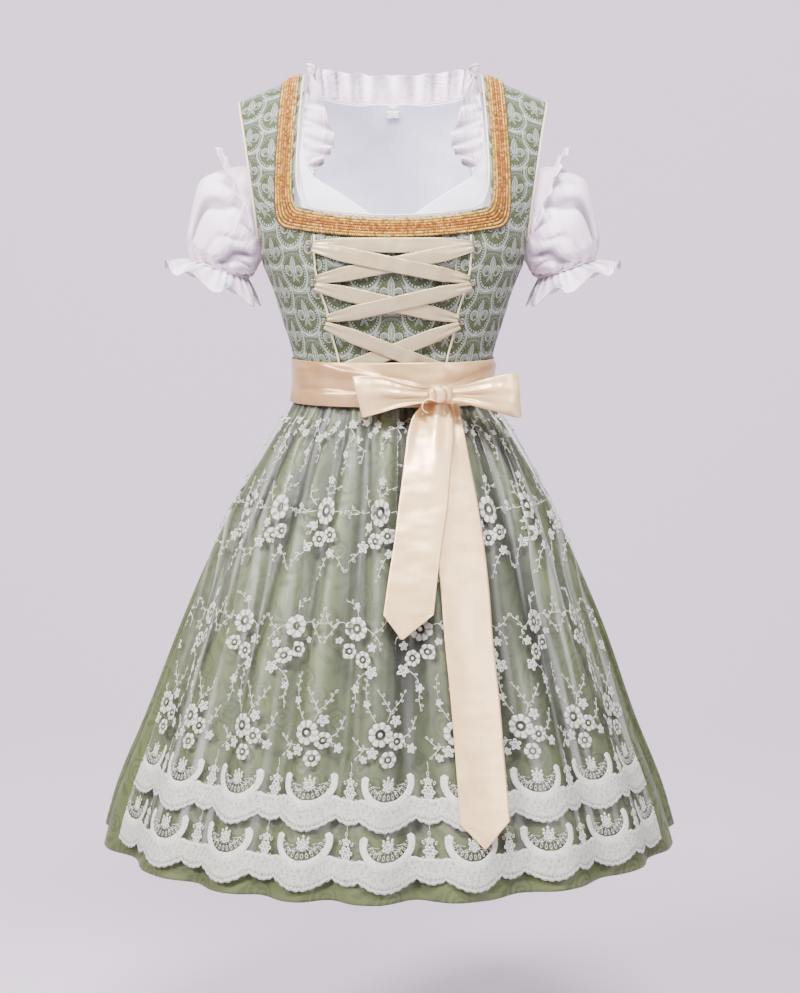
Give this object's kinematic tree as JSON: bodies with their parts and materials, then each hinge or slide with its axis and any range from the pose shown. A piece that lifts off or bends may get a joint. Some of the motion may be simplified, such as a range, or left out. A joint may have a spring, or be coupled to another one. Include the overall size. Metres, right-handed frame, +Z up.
{
  "type": "dirndl dress with lace apron and blouse",
  "caption": "Laced bodice on a flared knee-length skirt, with a lace apron, satin sash and bow, over a cropped puff-sleeve blouse; hollow worn form.",
  "frame": {"origin": "between the two shoulder straps, at the height where they meet the neck opening", "axes": "+Z up, the front of the dress faces -Y, +X is on the right when seen from the front"},
  "size_m": [0.7584, 0.647, 0.9916],
  "materials": {
    "brocade": "sage green brocade with a silver-grey woven motif",
    "jacquard": "sage green satin jacquard, soft sheen",
    "lace": "off-white embroidery on sheer net",
    "satin": "champagne satin",
    "ribbon": "cream satin ribbon",
    "piping": "cream satin cord",
    "braid": "woven gold and copper metallic yarn",
    "silver": "antique silver",
    "cotton": "white cotton batiste, matt",
    "label": "plain woven tab"
  },
  "bodies": {
    "root": {"apron": "lace", "armhole_piping_left": "piping", "armhole_piping_right": "piping", "blouse_back": "cotton", "blouse_front_left": "cotton", "blouse_front_right": "cotton", "bodice_back_left": "brocade", "bodice_back_right": "brocade", "bodice_front_centre": "brocade", "bodice_front_left": "brocade", "bodice_front_right": "brocade", "bow_knot": "satin", "bow_loop_left": "satin", "bow_loop_right": "satin", "cuff_frill_left": "cotton", "cuff_frill_right": "cotton", "hook_lower_left": "silver", "hook_lower_right": "silver", "hook_middle_left": "silver", "hook_middle_right": "silver", "hook_upper_left": "silver", "hook_upper_right": "silver", "lacing_lower_to_left": "ribbon", "lacing_lower_to_right": "ribbon", "lacing_middle_to_left": "ribbon", "lacing_middle_to_right": "ribbon", "lacing_top": "ribbon", "lacing_upper_to_left": "ribbon", "lacing_upper_to_right": "ribbon", "neck_ruffle": "cotton", "neckline_braid": "braid", "neckline_piping": "piping", "princess_piping_left": "piping", "princess_piping_right": "piping", "sash_band": "satin", "sash_tail_long": "satin", "sash_tail_short": "satin", "size_label": "label", "skirt_back": "jacquard", "skirt_front": "jacquard", "sleeve_head_frill_left": "cotton", "sleeve_head_frill_right": "cotton", "sleeve_left": "cotton", "sleeve_right": "cotton"}
  },
  "joints": []
}
